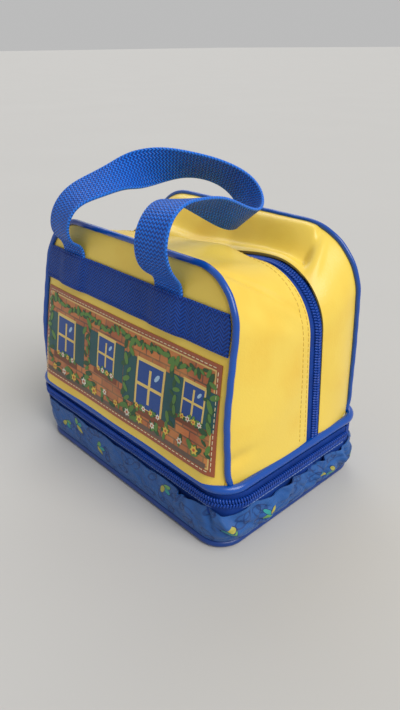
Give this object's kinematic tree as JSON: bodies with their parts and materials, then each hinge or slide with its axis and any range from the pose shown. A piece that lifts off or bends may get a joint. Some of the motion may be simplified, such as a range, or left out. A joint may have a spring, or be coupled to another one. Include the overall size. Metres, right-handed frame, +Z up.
{
  "type": "lunch bag",
  "caption": "Soft lunch bag with a padded upper compartment under a hoop zip, a low fabric compartment under a waist zip, and webbing handles.",
  "frame": {"origin": "middle of the underside, on the surface that the bag stands on", "axes": "+X along the front panel to its right, +Y from the front to the back, +Z up"},
  "size_m": [0.2296, 0.1692, 0.2255],
  "materials": {
    "yellow_vinyl": "slightly glossy soft vinyl with fine grain",
    "blue_piping": "glossy soft vinyl cord",
    "blue_webbing": "ribbed woven webbing with a soft sheen",
    "printed_vinyl": "printed vinyl with a stitched edge",
    "blue_nylon": "thin gathered nylon with a small print",
    "zip_tape": "woven zip tape",
    "zip_coil": "nylon coil",
    "foam": "soft sheet foam",
    "pale_lining": "smooth wipe-clean lining",
    "board": "plain stiffening board",
    "zip_hardware": "painted zip hardware"
  },
  "bodies": {
    "base": {"base_panel": "blue_nylon", "base_board": "board", "base_piping": "blue_piping", "base_wall": "blue_nylon", "waist_tape_lower": "zip_tape", "waist_coil_lower": "zip_coil", "waist_hinge_strip": "blue_nylon"},
    "upper": {"waist_tape_upper": "zip_tape", "waist_coil_upper": "zip_coil", "waist_piping": "blue_piping", "divider_underside": "blue_nylon", "divider_board": "board", "divider_liner": "pale_lining"},
    "front_half": {"front_panel": "yellow_vinyl", "front_foam": "foam", "front_lining": "pale_lining", "front_piping": "blue_piping", "front_handle_tail_left": "blue_webbing", "front_handle_tail_right": "blue_webbing", "front_band": "blue_webbing", "front_gusset": "yellow_vinyl", "front_gusset_lining": "pale_lining", "top_tape_front": "zip_tape", "top_coil_front": "zip_coil", "picture_patch": "printed_vinyl"},
    "back_half": {"back_panel": "yellow_vinyl", "back_foam": "foam", "back_lining": "pale_lining", "back_piping": "blue_piping", "back_handle_tail_left": "blue_webbing", "back_handle_tail_right": "blue_webbing", "back_band": "blue_webbing", "back_gusset": "yellow_vinyl", "back_gusset_lining": "pale_lining", "top_tape_back": "zip_tape", "top_coil_back": "zip_coil"},
    "front_handle": {"front_handle": "blue_webbing"},
    "back_handle": {"back_handle": "blue_webbing"},
    "top_slider": {"top_slider": "zip_hardware"},
    "top_pull": {"top_pull": "zip_hardware"},
    "waist_slider": {"waist_slider": "zip_hardware"},
    "waist_pull": {"waist_pull": "zip_hardware"}
  },
  "joints": [
    {"name": "waist_hinge", "type": "hinge", "parent": "base", "child": "upper", "pos_m": [0, 0.0745, 0.037], "axis": [-1, 0, 0], "range_deg": [0, 95]},
    {"name": "front_half_fold", "type": "hinge", "parent": "upper", "child": "front_half", "pos_m": [0, -0.0745, 0.0494], "axis": [1, 0, 0], "range_deg": [0, 75]},
    {"name": "back_half_fold", "type": "hinge", "parent": "upper", "child": "back_half", "pos_m": [0, 0.0705, 0.0494], "axis": [-1, 0, 0], "range_deg": [0, 45]},
    {"name": "front_handle_swing", "type": "hinge", "parent": "front_half", "child": "front_handle", "pos_m": [0, -0.053, 0.157], "axis": [1, 0, 0], "range_deg": [0, 100]},
    {"name": "back_handle_swing", "type": "hinge", "parent": "back_half", "child": "back_handle", "pos_m": [0, 0.0617, 0.1586], "axis": [1, 0, 0], "range_deg": [0, 165]},
    {"name": "top_slider_run", "type": "slide", "parent": "back_half", "child": "top_slider", "axis": [0.0489, 0, 0.9988], "range_m": [0, 0.055]},
    {"name": "top_pull_swing", "type": "hinge", "parent": "top_slider", "child": "top_pull", "pos_m": [-0.11019, 0.017, 0.06828], "axis": [0, 1, 0], "range_deg": [0, 120]},
    {"name": "waist_slider_run", "type": "slide", "parent": "base", "child": "waist_slider", "axis": [0, -1, 0], "range_m": [0, 0.055]},
    {"name": "waist_pull_swing", "type": "hinge", "parent": "waist_slider", "child": "waist_pull", "pos_m": [-0.1159, 0.032, 0.037], "axis": [0, 1, 0], "range_deg": [0, 120]}
  ]
}
